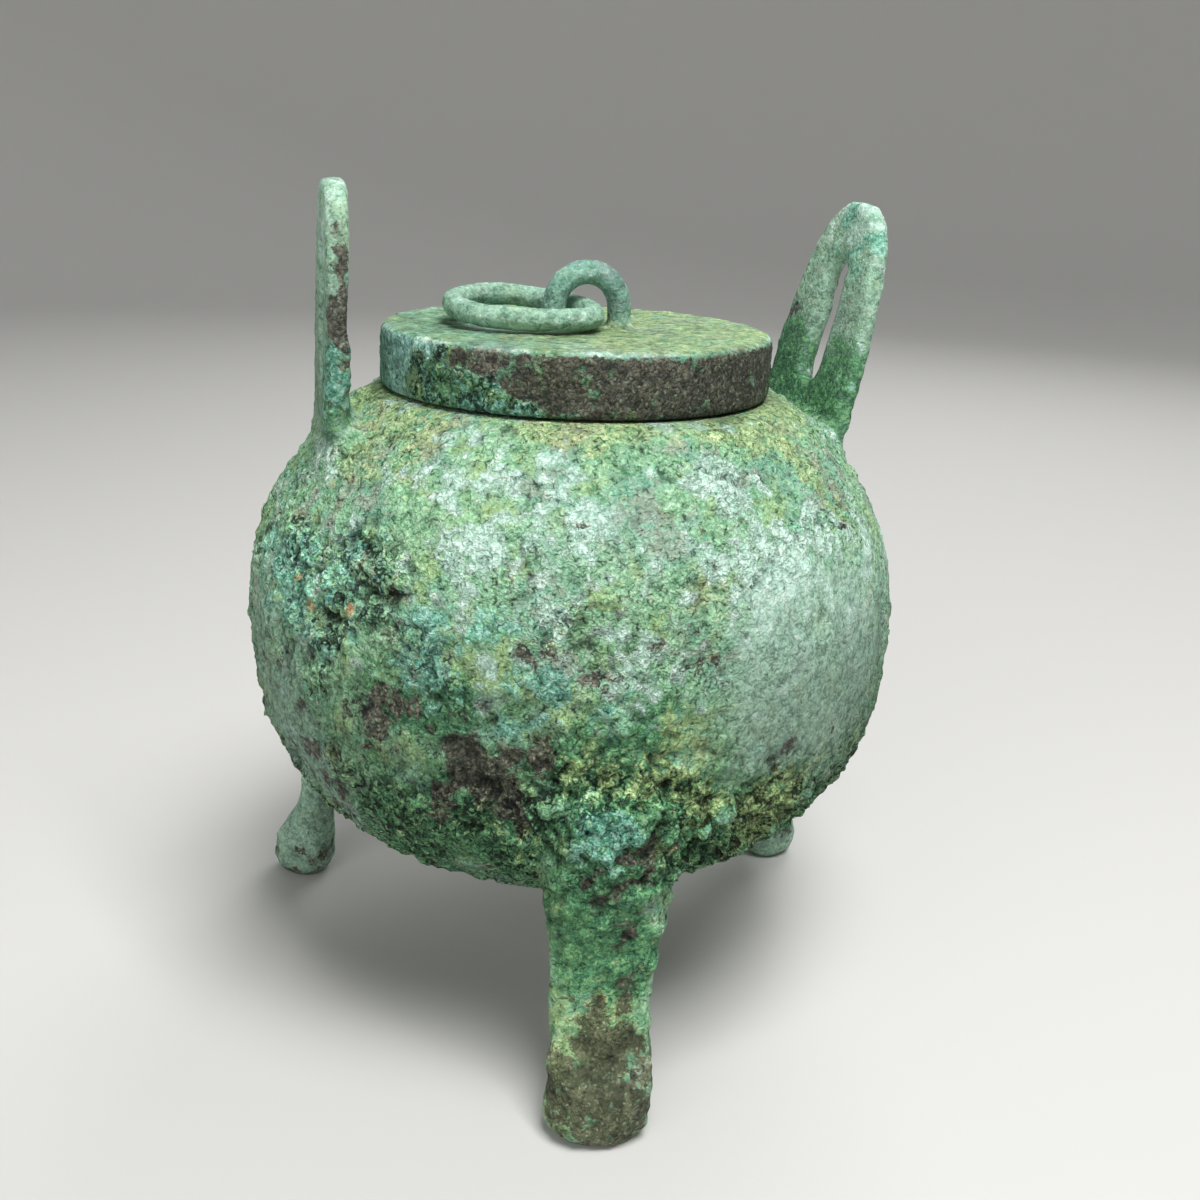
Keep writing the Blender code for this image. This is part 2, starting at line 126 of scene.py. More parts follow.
RUST = (
    (-41, 98.5, 1.7, 1.2), (-37.5, 95, 1.5, 1.0), (-43, 84, 1.7, 1.2), (-57, 86, 1.5, 1.0),
    (-13.5, 91, 1.3, 1.2), (11.5, 85.5, 1.8, 0.8), (1, 101, 1.6, 0.9), (-52, 83, 1.6, 0.7),
    (24, 105, 2.0, 0.6), (-19, 98, 1.6, 0.6), (-30, 104, 1.6, 0.5), (40, 66, 3, 0.6), (33, 58, 2.4, 0.6),
    (-46, 84, 14, 0.55), (-62, 86, 12, 0.6), (24, 50, 10, 0.4), (42, 48, 7, 0.4),
)
DEEP = (
    (4, 66, 7, 0.6), (-6, 65, 6, 0.5), (8, 72, 5, 0.6), (-28, 72, 6, 0.7), (-22, 73, 5, 0.6),
    (-36, 75, 6, 0.5), (24, 50, 10, 0.9), (-14, 47, 10, 0.7), (-40, 44, 12, 0.6), (40, 46, 10, 0.7),
    (0, 59, 6, 0.5), (14, 60, 7, 0.6), (-30, 48, 10, 0.6),
)
KNOBS = (
    (-11, 55, 3.4, 0.9), (-13, 50, 3.0, 0.8), (-12, 45, 3.0, 0.7), (12.5, 55, 3.2, 0.9),
    (14, 50, 3.0, 0.8), (19, 53, 2.8, 0.8), (24, 49, 2.8, 0.7), (29, 52, 2.6, 0.7), (22, 44, 3.0, 0.7),
    (33, 47, 2.8, 0.6), (38, 52, 2.6, 0.6), (-6, 61, 3.0, 0.7), (5, 61, 3.0, 0.7), (10, 63, 2.6, 0.6),
    (-74, 88, 2.2, 0.8), (-77, 84, 2.0, 0.6), (-64, 94, 2.4, 0.6), (30, 43, 3.0, 0.6),
    (-10, 66, 2.4, 0.4), (9, 70, 2.4, 0.4),
)

ROUGH = (
    (-66, 86, 14, 0.6), (-56, 76, 12, 0.45), (22, 50, 12, 1.0), (36, 46, 12, 0.8), (4, 62, 9, 0.9),
    (-8, 60, 8, 0.6), (-46, 88, 8, 0.35), (-74, 98, 10, 0.5), (10, 70, 7, 0.5), (-16, 50, 10, 0.6),
)
# Painted light on the belly, in the same columns: where the painted shade of the lower belly is lifted, as
# if lit from above and in front
PAINTED_LIGHT = (
    (2, 66, 10, 0.9), (12, 58, 9, 0.6), (-8, 56, 8, 0.4), (-26, 62, 12, 0.25), (26, 54, 9, 0.3),
    (0, 72, 8, 0.3), (-54, 78, 16, 0.5), (-46, 88, 10, 0.3),
)

# The same on the front leg and the handles: a point, radius and strength
LEG_KNOBS = (
    ((-3, -55, 54), 3.0, 0.9), ((3.5, -56, 53), 2.8, 0.8), ((0, -58, 49), 4.0, 0.6),
    ((-7, -55, 46), 3.0, 0.8), ((8, -54, 44), 3.0, 0.9), ((4, -58, 43), 2.6, 0.4),
    ((8.6, -54, 36), 2.4, 0.9), ((8.2, -54, 29), 2.4, 0.8), ((8.4, -56, 22), 2.6, 0.8),
    ((9, -60, 14), 2.6, 0.7), ((-8, -57, 14), 2.0, 0.4),
)
FOOT_BARE = (
    ((0, -56, 22), 5.0, 0.9), ((0, -57, 17), 6.0, 1.3), ((0, -61, 11), 7.0, 1.3), ((2, -64, 5), 6.0, 0.8),
    ((3, -57, 48), 7.0, 1.5), ((4, -56, 40), 3.0, 0.6), ((-3, -57, 50), 3.0, 0.5),
    ((46, 34, 30), 8.0, 0.3), ((-48, 31, 14), 8.0, 0.3), ((-6, -59, 8), 6.0, 1.0),
    ((7, -59, 8), 6.0, 0.8), ((5, -57, 15), 4.0, 0.7),
)
ROOT_TURQUOISE = (
    ((-1, -58, 54), 5.0, 1.4), ((4, -58, 51), 4.0, 1.0), ((-6, -57, 50), 3.0, 0.9),
    ((-4, -56, 58), 4.0, 0.9),
)
FOOT_OCHRE = (
    ((0, -62, 8), 16.0, 1.2), ((0, -57, 18), 8.0, 0.6), ((-8, -55, 52), 5.0, 1.1),
    ((7, -56, 50), 5.0, 1.0),
)
LEG_DEEP = (
    ((0, -57, 34), 9.0, 0.8), ((2, -57, 27), 8.0, 0.7), ((6, -56, 48), 5.0, 0.6),
    ((0, -58, 46), 9.0, 0.8), ((0, -57, 56), 7.0, 0.7),
)
LEG_PALE = (
    ((-8, -56, 46), 3.6, 0.9), ((-7, -55, 38), 3.0, 0.7), ((-8, -58, 9), 2.0, 0.5),
    ((6, -62, 9), 1.8, 1.0), ((0, -64, 2), 2.6, 0.7), ((7, -55, 30), 3.0, 0.4),
    ((-48, 31, 14), 12.0, 0.6), ((-50, 32, 4), 9.0, 0.6), ((52, 36, 6), 10.0, 0.5),
)
HANDLE_BARE = (
    ((-42, -13, 136), 4.0, 1.3), ((-41, -14, 128), 5.0, 1.4), ((-41, -15, 121), 5.0, 1.3),
    ((-41, -16, 114), 5.0, 1.2), ((-43, -11, 142), 3.5, 0.9), ((-47, -14, 131), 2.5, 0.7),
    ((-42, 4, 124), 7.0, 0.9), ((46, 28, 126), 4.0, 0.2), ((44, 14, 112), 4.0, 0.6),
)
HANDLE_TURQUOISE = (
    ((-47, -15, 120), 6.0, 1.3), ((-47, -16, 113), 6.0, 1.2), ((-45, -17, 108), 5.0, 0.8),
    ((-47, -14, 127), 4.0, 0.9), ((51, 14, 142), 10.0, 0.9), ((51, 10, 130), 8.0, 0.6),
)
HANDLE_PALE = (
    ((-44, -8, 147), 5.0, 0.4), ((-46, -11, 141), 4.0, 0.7), ((-47, -13, 134), 3.0, 0.6),
    ((-46, -17, 105), 5.0, 0.9), ((-44, -14, 104), 5.0, 0.6), ((53, 18, 146), 9.0, 1.5),
    ((50, 9, 140), 5.0, 0.8), ((48, 6, 131), 3.0, 0.3), ((52, 27, 141), 6.0, 0.5),
)
HANDLE_DEEP = (
    ((48, 5, 118), 8.0, 1.0), ((49, 7, 129), 6.0, 0.6), ((45, 28, 116), 9.0, 1.0),
    ((44, 10, 110), 8.0, 1.0), ((-44, -15, 115), 8.0, 0.7),
)
HANDLE_OCHRE = (
    ((44, 4, 107), 5.0, 1.0), ((44, 30, 107), 6.0, 0.8), ((46, 14, 104), 5.0, 0.7),
    ((-44, -18, 106), 3.0, 0.5), ((48, 10, 132), 3.4, 0.9), ((46, 8, 124), 3.0, 0.7),
)

# Azimuth of each leg's root from the front leg, and half its breadth, in degrees
LEG_ROOTS = ((0, 14), (58, 12), (-62, 12))

# Colours as they look on a screen, 0 to 255. Tones run from dark to light, each with its place.
GROUND_TONES = (
    (0.35, (86, 134, 98)), (0.46, (126, 172, 132)), (0.55, (148, 190, 152)), (0.66, (176, 210, 176)),
)
MOSS_TONES = ((0.38, (38, 84, 58)), (0.50, (72, 134, 92)), (0.62, (124, 182, 122)))
OCHRE_TONES = ((0.38, (112, 128, 68)), (0.50, (158, 174, 108)), (0.64, (196, 204, 150)))
TURQUOISE_TONES = ((0.38, (56, 114, 100)), (0.50, (108, 174, 152)), (0.62, (172, 218, 202)))
CHALK_TONES = ((0.38, (142, 180, 162)), (0.50, (176, 208, 192)), (0.62, (204, 226, 214)))
METAL_TONES = ((0.38, (42, 38, 35)), (0.47, (82, 77, 70)), (0.55, (116, 109, 97)), (0.64, (154, 147, 126)))
PIT_TONES = ((0.40, (24, 56, 64)), (0.52, (42, 98, 98)), (0.64, (76, 142, 130)))
BLUISH = (108, 172, 152)
YELLOWISH = (160, 180, 112)
MAUVE = (152, 144, 130)
BLOOM = (172, 204, 188)
OLIVE = (96, 108, 70)
SPECK = (146, 176, 146)
RUST_BROWN = (186, 124, 72)
LINING = (70, 84, 64)
# Painted highlight on the crowns of crumbs
CROWN_HIGHLIGHT = (184, 210, 150)
POT_DUST = (164, 196, 178)
LID_DUST = (130, 172, 172)
RING_DUST = (148, 182, 166)
FLOOR = (206, 205, 202)

# Places of the dust's dark, middle and light tones, and their brightness
DUST_SHARES = ((0.36, 0.72), (0.50, 1.0), (0.64, 1.13))
GLOSS = 0.3

# Depth of each material's bump in millimetres
POT_GRAIN = 0.55
LID_GRAIN = 0.40
RING_GRAIN = 0.25

# The floor's flat radius, the curve at its rim, and the top of the wall, in metres
FLOOR_RADIUS = 1.1
FLOOR_CURVE = 0.5
WALL_TOP = 1.6
CURVE_STEPS = 12
FLOOR_STEPS = 96

# Soft light: place in metres, size of the lamp and power in watts
ROOM_COLOUR = (0.92, 0.96, 1.0, 1.0)
ROOM_STRENGTH = 0.20
LAMPS = (
    ("key", (0.12, -0.34, 0.86), 0.40, 9.0),
    ("fill", (-0.45, -0.65, 0.40), 0.60, 2.2),
    ("rim", (0.35, 0.65, 0.70), 0.50, 3.0),
)
LAMP_AIM = (0.0, 0.0, 0.07)


def to_linear(colour):
    """Linear colour from red, green and blue as they look on a screen, 0 to 255."""
    values = []
    for channel in colour:
        share = channel / 255
        values.append(share / 12.92 if share <= 0.04045 else ((share + 0.055) / 1.055) ** 2.4)
    return (*values, 1.0)


def lattice(x, y, z, seed):
    """Repeatable numbers from 0 to 1 for whole-number points."""
    mask = 0xFFFFFFFF
    n = (x * 374761393 + y * 668265263 + z * 1274126177 + seed * 974634777) & mask
    n = ((n ^ (n >> 13)) * 1103515245) & mask
    n = ((n ^ (n >> 16)) * 668265263) & mask
    return (n ^ (n >> 15)) / mask


def value_noise(points, seed):
    """Smooth noise from 0 to 1, one unit between its lattice points."""
    base = np.floor(points).astype(np.int64)
    part = points - base
    part = part * part * part * (part * (part * 6 - 15) + 10)
    total = np.zeros(len(points))
    for dx in (0, 1):
        for dy in (0, 1):
            for dz in (0, 1):
                weight = np.abs(1 - dx - part[:, 0])
                weight = weight * np.abs(1 - dy - part[:, 1])
                weight = weight * np.abs(1 - dz - part[:, 2])
                total += weight * lattice(base[:, 0] + dx, base[:, 1] + dy, base[:, 2] + dz, seed)
    return total


TILT = np.array(Matrix.Rotation(0.7, 3, Vector((0.4, 0.7, 0.6)).normalized()))


def cloud(points, size, octaves, seed):
    """Layered noise round 0.5 whose largest forms are size millimetres across."""
    total = np.zeros(len(points))
    weight = 0.5
    share = 0.0
    place = points / size
    for octave in range(octaves):
        total += weight * value_noise(place, seed + octave)
        share += weight
        weight *= 0.55
        place = place @ TILT * 2.03 + 11.3
    return total / share


def grains(points, size, seed):
    """Rounded grains, 1 at their crowns and 0 between them, and a number from 0 to 1 for each grain."""
    place = points / size
    base = np.floor(place).astype(np.int64)
    nearest = np.full(len(points), 9.0)
    name = np.zeros(len(points))
    for dx in (-1, 0, 1):
        for dy in (-1, 0, 1):
            for dz in (-1, 0, 1):
                x, y, z = base[:, 0] + dx, base[:, 1] + dy, base[:, 2] + dz
                across = (x + lattice(x, y, z, seed) - place[:, 0]) ** 2
                across += (y + lattice(x, y, z, seed + 1) - place[:, 1]) ** 2
                across += (z + lattice(x, y, z, seed + 2) - place[:, 2]) ** 2
                closer = across < nearest
                nearest = np.where(closer, across, nearest)
                name = np.where(closer, lattice(x, y, z, seed + 3), name)
    return np.clip(1 - nearest / 0.72, 0, 1), name


def step(value, low, high):
    """Smooth change from 0 at low to 1 at high."""
    share = np.clip((value - low) / (high - low), 0, 1)
    return share * share * (3 - 2 * share)


def below(value, low, high):
    """Smooth change from 1 at low to 0 at high."""
    return step(-value, -high, -low)


def belly_reach(height):
    """Distance of the belly's outside from its axis at a height, in millimetres."""
    up = np.asarray(height) - BELLY_LEVEL
    rise = np.where(up > 0, SHOULDER_RISE, BASIN_DEPTH)
    fullness = np.where(up > 0, SHOULDER_FULLNESS, BASIN_FULLNESS)
    share = np.clip(np.abs(up) / rise, 0, 1)
    return BELLY_RADIUS * (1 - share**fullness) ** (1 / fullness)


def off_belly(points):
    """Rough distance outwards from the belly's outside, in millimetres."""
    radius = np.hypot(points[:, 0], points[:, 1] - AXIS_Y)
    up = points[:, 2] - BELLY_LEVEL
    rise = np.where(up > 0, SHOULDER_RISE, BASIN_DEPTH)
    fullness = np.where(up > 0, SHOULDER_FULLNESS, BASIN_FULLNESS)
    size = ((radius / BELLY_RADIUS) ** fullness + (np.abs(up) / rise) ** fullness) ** (1 / fullness)
    return (1 - 1 / np.maximum(size, 0.01)) * np.hypot(radius, up)


def on_belly(marks):
    """Belly marks as (point, radius, strength)."""
    placed = []
    for azimuth, height, radius, strength in marks:
        reach = float(belly_reach(height))
        angle = math.radians(azimuth)
        point = (reach * math.sin(angle), AXIS_Y - reach * math.cos(angle), height)
        placed.append((point, radius, strength))
    return tuple(placed)


def marked(points, marks):
    """Sum of soft round marks at these points."""
    total = np.zeros(len(points))
    for centre, radius, strength in marks:
        away = ((points - np.array(centre)) ** 2).sum(1)
        total += strength * np.exp(-away / (2 * (radius / 1.5) ** 2))
    return total


def dress(node, name, voxel):
    """A fine mesh piece made from a solid, in place of it."""
    piece = bpy.data.objects.new(name, node.data.copy())
    bpy.context.scene.collection.objects.link(piece)
    remesh = piece.modifiers.new("fine", "REMESH")
    remesh.mode = "VOXEL"
    remesh.voxel_size = voxel
    settle(piece)
    return piece


def settle(piece):
    """Applies the piece's modifiers."""
    graph = bpy.context.evaluated_depsgraph_get()
    mesh = bpy.data.meshes.new_from_object(piece.evaluated_get(graph))
    piece.modifiers.clear()
    piece.data = mesh
    mesh.name = piece.name


def read_points(mesh):
    flat = np.empty(len(mesh.vertices) * 3, np.float32)
    mesh.vertices.foreach_get("co", flat)
    return flat.reshape(-1, 3).astype(float) / MM


def write_points(mesh, points):
    mesh.vertices.foreach_set("co", (points * MM).astype(np.float32).ravel())
    mesh.update()


def read_normals(mesh):
    flat = np.empty(len(mesh.vertices) * 3, np.float32)
    mesh.vertex_normals.foreach_get("vector", flat)
    return flat.reshape(-1, 3).astype(float)


def relax(mesh, rounds, weight):
    """Evens the mesh out, each point as far as its weight says."""
    points = read_points(mesh)
    edges = np.empty(len(mesh.edges) * 2, np.int32)
    mesh.edges.foreach_get("vertices", edges)
    first, second = edges.reshape(-1, 2).T
    count = len(points)
    degree = np.bincount(first, minlength=count) + np.bincount(second, minlength=count)
    pull = (0.5 * weight)[:, None]
    for _ in range(rounds):
        mean = np.empty_like(points)
        for k in range(3):
            total = np.bincount(first, points[second, k], count)
            total += np.bincount(second, points[first, k], count)
            mean[:, k] = total / degree
        points += pull * (mean - points)
    write_points(mesh, points)


def store(mesh, name, red, green, blue, alpha):
    """Keeps four numbers from 0 to 1 for each point, for the material."""
    colours = np.stack((red, green, blue, alpha), 1)
    layer = mesh.attributes.new(name, "FLOAT_COLOR", "POINT")
    layer.data.foreach_set("color", np.clip(colours, 0, 1).astype(np.float32).ravel())


def copy_heights(old_points, old_heights, points):
    """The height of the nearest old point, for each new one."""
    tree = KDTree(len(old_points))
    for i, point in enumerate(old_points):
        tree.insert(point, i)
    tree.balance()
    found = [tree.find(point)[1] for point in points]
    return old_heights[np.array(found)]


def warp(points, seed):
    """Points pushed about, so that round marks come out ragged."""
    moved = points.copy()
    for k in range(3):
        moved[:, k] += 9.0 * (cloud(points, 9, 3, seed + 10 * k) - 0.5)
        moved[:, k] += 5.0 * (cloud(points, 2.6, 3, seed + 10 * k + 5) - 0.5)
    return moved


def pot_zones(points):
    """Where each kind of corrosion lies on the pot, and where shade and light are painted on it, each from
    0 to 1.
    """
    off = off_belly(points)
    radius = np.hypot(points[:, 0], points[:, 1] - AXIS_Y)
    height = points[:, 2]
    back = step(points[:, 1], 0, 30)
    inside = step(-off, 1.2, 2.2) * step(height, 25, 27)
    handle = step(off, 0.8, 2.5) * step(height, 100, 104) * step(radius, 37.5, 39)
    leg = step(off, 0.8, 2.5) * below(height, 58, 62)
    body = 1 - np.maximum(handle, leg)
    slow = cloud(points, 17, 5, 5) - 0.5
    quick = cloud(points, 5, 5, 25) - 0.5
    third = cloud(points + 40, 10, 5, 45) - 0.5
    crumb = cloud(points + 20, 2.4, 3, 85) - 0.5
    low = below(height, 60, 99)
    near = 1 - step(off, 1, 20)
    bent = warp(points, 400)
    calm = marked(points, on_belly(SMOOTH))

    def spread(belly_marks, other_marks=()):
        total = marked(bent, on_belly(belly_marks)) * body
        return total + marked(bent, other_marks)

    pale = 0.62 * np.minimum(spread(PALE, LEG_PALE + HANDLE_PALE), 1.2)
    pale += 1.0 * slow + 2.4 * quick + 2.0 * crumb
    pale += 0.22 * calm - 0.08 + 0.25 * back * body - 0.45 * low - 0.10 * leg
    pale += 0.10 * handle * step(height, 126, 142) - 0.5 * handle * below(height, 112, 132)
    bare = 0.66 * spread(BARE, FOOT_BARE) + 0.85 * marked(points, HANDLE_BARE)
    bare += 1.3 * third + 1.8 * quick + 1.6 * crumb - 0.32 + 0.06 * back + 0.16 * low
    bare += 0.30 * leg * below(height, 8, 16)
    pits = spread(PITS) + 1.4 * third + 1.2 * quick + 0.8 * crumb - 0.42 + 0.10 * back
    turquoise = 0.8 * spread(TURQUOISE, HANDLE_TURQUOISE + ROOT_TURQUOISE)
    turquoise += 1.5 * slow - 2.0 * quick - 1.4 * crumb - 0.42 + 0.15 * back + 0.25 * handle
    turquoise += 0.22 * step(height, 60, 70) * below(height, 84, 96) * body
    ochre = spread(OCHRE, HANDLE_OCHRE + FOOT_OCHRE) + 1.1 * step(height, 106, 113) * body
    ochre += 1.5 * third - 1.2 * slow + 1.0 * crumb - 0.22 + 0.10 * back
    rust = marked(points, on_belly(RUST)) * body + 1.2 * quick + 1.0 * crumb - 0.62 + 0.05 * back
    deep = spread(DEEP, LEG_DEEP + HANDLE_DEEP) + 1.2 * third + 1.3 * quick - 0.30 + 0.15 * back
    rear = leg * step(points[:, 1], -10, 10)
    deep += 0.70 * low * near + 0.50 * leg * (1 - near) - 0.9 * rear * (1 - near)
    deep -= 0.9 * calm * low
    deep += 0.8 * handle * step(points[:, 0], 30, 40) * below(height, 108, 132)
    deep += 0.7 * handle * step(-points[:, 0], 30, 40) * below(height, 112, 134)
    smooth = marked(bent, on_belly(SMOOTH)) + 0.8 * slow + 0.2 * back + 0.75 * handle
    smooth += 0.9 * rear * (1 - near)
    root = marked(points, (((0, -52, 52), 16, 1.0), ((16, -44, 44), 12, 0.8)))
    crust = 0.85 + 0.9 * third - 0.60 * step(smooth, 0.1, 1.1) + 0.35 * below(height, 52, 64) * body
    crust += 0.5 * root
    crust += 0.5 * marked(points, on_belly(KNOBS)) + 0.3 * marked(points, LEG_KNOBS)
    crust += 0.4 * marked(points, on_belly(PITS)) - 0.3 * leg
    crust -= 0.25 * handle * step(height, 118, 134)
    # Painted light where the lower belly would be lit from the front, and painted shade on the handles'
    # lower limbs, more on the left one
    painted_light = np.minimum(marked(points, on_belly(PAINTED_LIGHT)), 1.0)
    stem_shade = handle * below(height, 118, 148) * (0.35 + 0.25 * step(-points[:, 0], 0, 10))
    zones = {
        "pale": step(pale, -0.1, 1.1),
        "bare": step(bare, 0.10, 0.90),
        "pits": step(pits, 0.10, 0.80),
        "turquoise": step(turquoise, 0.05, 1.0),
        "ochre": step(ochre, 0.0, 1.1),
        "rust": step(rust, 0.1, 0.8),
        "deep": step(deep, -0.1, 1.0),
        "crust": np.clip(crust, 0.22, 1.5),
        "knobby": np.clip(root + 0.7 * marked(points, on_belly(ROUGH)), 0, 1.2) * (1 - 0.6 * handle),
        "handle": handle,
        "leg": leg,
        "inside": inside,
        # Painted shade: the lower belly darker, fading out along the legs, lifted by the painted light, and
        # darker on the handles' lower limbs
        "shade": np.clip(0.80 * low * near + 0.16 * leg * (1 - near) - 0.6 * painted_light + stem_shade, 0, 1),
        "grey": step(smooth + 0.5 * crumb, 0.0, 1.0),
    }
    return zones


def pot_relief(points, zones):
    """Height of the crust over the cast surface in millimetres."""
    small, _ = grains(points, 1.4, 3)
    large, name = grains(points + 7, 3.2, 13)
    hollow, depth = grains(points + 3, 2.1, 33)
    wave = cloud(points, 18, 3, 60) - 0.5
    rough = cloud(points, 3.0, 4, 70) - 0.5
    crust = zones["crust"] * (1 - 0.35 * zones["handle"])
    relief = 0.9 * wave + crust * (0.50 * small + 0.80 * large * name + 1.25 * rough - 0.30)
    relief += zones["pale"] * (0.10 + 0.15 * small) + zones["turquoise"] * (0.10 + 0.30 * small)
    relief -= 0.30 * zones["bare"]
    relief -= zones["pits"] * (0.05 + 0.65 * hollow * step(depth, 0.35, 0.6))
    lumps, share = grains(points + 11, 2.5, 43)
    relief += zones["knobby"] * (1.3 * lumps * step(share, 0.2, 0.8) + 0.5 * small - 0.65)
    relief += marked(points, on_belly(KNOBS)) * (0.55 + 1.3 * large)
    relief += marked(points, LEG_KNOBS) * (0.5 + 1.1 * large)
    plain = 0.7 * wave + 0.15 * rough
    return relief * (1 - zones["inside"]) + plain * zones["inside"]


def make_pot(node):
    piece = dress(node, "pot_casting", POT_VOXEL)
    points = read_points(piece.data)
    relax(piece.data, 3, np.full(len(points), 1.0))
    off = np.abs(off_belly(points))
    height = points[:, 2]
    radius = np.hypot(points[:, 0], points[:, 1] - AXIS_Y)
    azimuth = np.degrees(np.arctan2(points[:, 0], AXIS_Y - points[:, 1]))
    roots = np.zeros(len(points))
    for turn, half in LEG_ROOTS:
        near = below(np.abs(azimuth - turn), half, half + 6)
        roots = np.maximum(roots, near * below(height, 60, 64) * step(height, 24, 28))
    upper = step(height, 96, 100) * step(radius, 38.5, 40)
    roots = np.maximum(roots * below(off, 3, 5), upper * below(off, 2.5, 4.5))
    relax(piece.data, 34, roots)

    points = read_points(piece.data)
    zones = pot_zones(points)
    relief = pot_relief(points, zones)
    height = points[:, 2]
    mouth = step(height, SEAT_LEVEL - 1.5, SEAT_LEVEL - 0.3) * below(radius, 38, 39.5)
    relief = np.where(mouth > 0, relief * (1 - mouth) - 0.1 * mouth, relief)
    sole = below(height, 0.2, 1.2)
    relief *= 1 - sole
    sink = 0.45 * zones["leg"] * below(height, 32, 38) + 0.45 * zones["handle"]
    lift = relief - sink * (1 - sole)
    write_points(piece.data, points + read_normals(piece.data) * lift[:, None])
    moved = read_points(piece.data)
    moved[:, 2] = np.maximum(moved[:, 2], 0.0)
    write_points(piece.data, moved)

    triangles = len(piece.data.polygons) * 2
    thin = piece.modifiers.new("thin", "DECIMATE")
    thin.ratio = min(1.0, POT_TRIANGLES / triangles)
    settle(piece)
    final = read_points(piece.data)
    zones = pot_zones(final)
    height = copy_heights(moved, relief, final)
    height = (height - 0.9 * (cloud(final, 18, 3, 60) - 0.5) + 0.6) / 1.8
    store(piece.data, "zones", zones["pale"], zones["bare"], zones["pits"], zones["turquoise"])
    store(piece.data, "stains", zones["ochre"], zones["rust"], zones["deep"], height)
    # The third number kept here is painted shade
    store(piece.data, "cover_and_shade", zones["crust"] / 1.5, zones["grey"], zones["shade"], zones["inside"])
    piece.data.shade_smooth()
    return piece


def lid_zones(points):
    """Where each kind of corrosion lies on the lid, and where shade is painted on it, each from 0 to 1."""
    azimuth = np.degrees(np.arctan2(points[:, 0] - LID_X, AXIS_Y - points[:, 1]))
    radius = np.hypot(points[:, 0] - LID_X, points[:, 1] - AXIS_Y)
    height = points[:, 2]
    rod = step(height, LID_TOP + 0.2, LID_TOP + 1.0)
    top = step(height, LID_TOP - 0.9, LID_TOP - 0.2) * (1 - rod)
    side = step(radius, LID_RADIUS - 1.5, LID_RADIUS - 0.6) * (1 - top)
    back = step(np.abs(azimuth), 80, 110)
    slow = cloud(points, 14, 5, 105) - 0.5
    quick = cloud(points, 4, 5, 125) - 0.5
    third = cloud(points + 20, 8, 5, 145) - 0.5
    crumb = cloud(points + 20, 1.8, 3, 185) - 0.5
    ragged = 30 * third + 16 * quick
    border = 8 + 34 * step(height, LID_TOP - 11, LID_TOP - 1)
    left = step(-azimuth + ragged - border, 0, 12) * step(azimuth + ragged, -80, -66) * (1 - back)
    crystals = step(0.75 * left + 0.45 * back + 1.5 * third + 1.2 * quick, 0.15, 0.6) * side
    flecks = step(third + quick + crumb, 0.16, 0.42) * side
    away = step(-azimuth + ragged, 50, 60) * (1 - back)
    crystals *= 1 - away
    near_loop = marked(points, (((LOOP_X + 6, 5, 124), 5, 1.0), ((LOOP_X - 6, 4, 124), 4, 0.7)))
    edge = step(radius, LID_RADIUS - 1.6, LID_RADIUS - 0.5) * step(height, LID_TOP - 1.4, LID_TOP - 0.5)
    broken = step(quick + 1.5 * crumb, -0.02, 0.16)
    pale = 0.15 * top + 0.7 * (slow + quick) * (1 - side) + 0.55 * edge * broken + 0.2 * rod
    bare = side * np.clip(1 - crystals - 1.5 * np.maximum(away, 0.6 * left), 0, 1)
    sunny = top * (0.30 + 0.55 * step(points[:, 0], -24, 4))
    zones = {
        "pale": np.clip(pale, 0, 1),
        "bare": bare * (1 - 0.45 * flecks) * (1 - 0.5 * edge),
        "pits": 0.55 * crystals,
        "turquoise": np.clip(0.95 * crystals * step(quick + crumb, -0.2, 0.1) + 0.40 * away * side, 0, 1),
        "ochre": step(0.9 * near_loop + sunny + 0.8 * third + 0.4 * crumb, 0.0, 1.0) * (1 - 0.7 * side),
        "rust": step(top * 0.12 * step(radius, 25, 33) + 0.9 * third + 0.6 * quick, 0.30, 0.70) * (1 - rod),
        "deep": np.clip(0.70 * crystals + 0.3 * step(third, 0.0, 0.3) * top, 0, 1),
        "crystals": crystals,
        "rod": rod,
        "side": side,
        "top": top,
        "grey": np.clip(0.6 * rod + 0.15 * top + 1.0 * away * side, 0, 1),
        # Painted shade: the lid's side wall darker, less at its rim and at its far left, and a little on
        # the loop
        "shade": np.clip(1.0 * side * (1 - 0.5 * edge) * (1 - 0.9 * away) + 0.22 * rod, 0, 1),
    }
    return zones


def lid_relief(points, zones):
    small, _ = grains(points, 1.15, 203)
    large, name = grains(points + 5, 2.1, 213)
    wave = cloud(points, 15, 3, 260) - 0.5
    rough = cloud(points, 2.2, 3, 270) - 0.5
    body = 1 - zones["rod"]
    relief = 0.35 * wave * body + (0.12 + 0.12 * zones["side"]) * small + 0.35 * rough * (0.4 + 0.6 * body)
    relief += zones["crystals"] * (0.20 + 0.65 * large * name + 0.30 * small)
    relief -= 0.25 * zones["pits"] * large
    return relief


